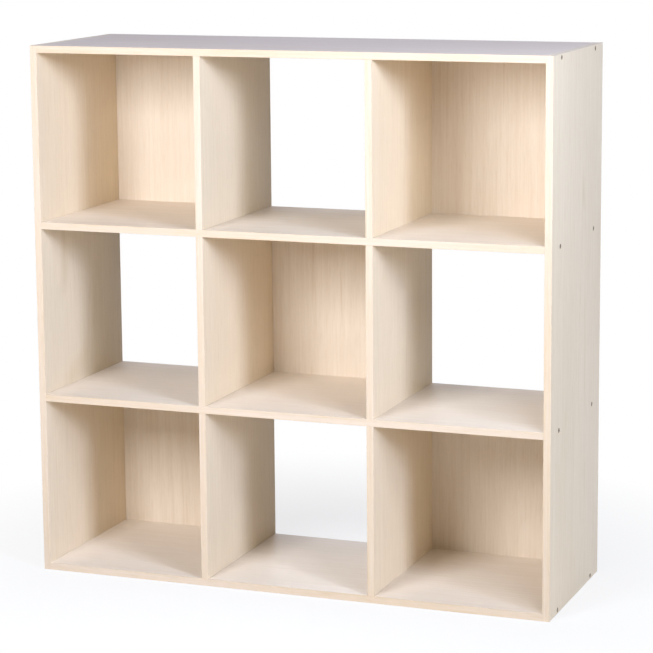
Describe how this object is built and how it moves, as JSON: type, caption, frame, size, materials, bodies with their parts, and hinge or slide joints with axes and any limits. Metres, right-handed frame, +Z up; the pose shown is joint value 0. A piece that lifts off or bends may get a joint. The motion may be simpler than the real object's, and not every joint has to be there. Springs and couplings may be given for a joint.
{
  "type": "cube storage unit",
  "caption": "Free-standing grid of square open-fronted cubes in pale maple-look board, every other cube closed by a thin back panel.",
  "frame": {"origin": "on the floor, in the middle of the unit's width and overall depth", "axes": "+X to the right seen from the front, +Y towards the back, +Z up; the open fronts face -Y"},
  "size_m": [0.9, 0.3036, 0.9],
  "materials": {
    "side_board": "satin maple-look laminate on particle board, fine upright grain",
    "top_board": "satin maple-look laminate on particle board, grain along the width",
    "level_board": "satin maple-look laminate on particle board, grain along the width",
    "divider_board": "satin maple-look laminate on particle board, fine upright grain",
    "back_board": "maple-look paper foil on thin hardboard, fine upright grain, brown fibre behind",
    "front_edging": "cream maple-look edging strip, satin",
    "side_screw": "dark zinc-plated steel with a hexagon socket",
    "dowel": "bare fluted beech",
    "panel_pin": "bright zinc-plated steel"
  },
  "bodies": {
    "root": {"left_side_panel": "side_board", "right_side_panel": "side_board", "top_panel": "top_board", "upper_shelf": "level_board", "lower_shelf": "level_board", "bottom_panel": "level_board", "divider_top_left": "divider_board", "divider_top_right": "divider_board", "divider_middle_left": "divider_board", "divider_middle_right": "divider_board", "divider_bottom_left": "divider_board", "divider_bottom_right": "divider_board", "back_panel_top_left": "back_board", "back_panel_top_right": "back_board", "back_panel_centre": "back_board", "back_panel_bottom_left": "back_board", "back_panel_bottom_right": "back_board", "left_side_front_edging": "front_edging", "right_side_front_edging": "front_edging", "left_side_top_edging": "front_edging", "right_side_top_edging": "front_edging", "top_panel_edging": "front_edging", "upper_shelf_edging": "front_edging", "lower_shelf_edging": "front_edging", "bottom_panel_edging": "front_edging", "divider_top_left_edging": "front_edging", "divider_top_right_edging": "front_edging", "divider_middle_left_edging": "front_edging", "divider_middle_right_edging": "front_edging", "divider_bottom_left_edging": "front_edging", "divider_bottom_right_edging": "front_edging", "left_side_screws": "side_screw", "right_side_screws": "side_screw", "end_dowels": "dowel", "shelf_dowels": "dowel", "back_panel_pins": "panel_pin"}
  },
  "joints": []
}
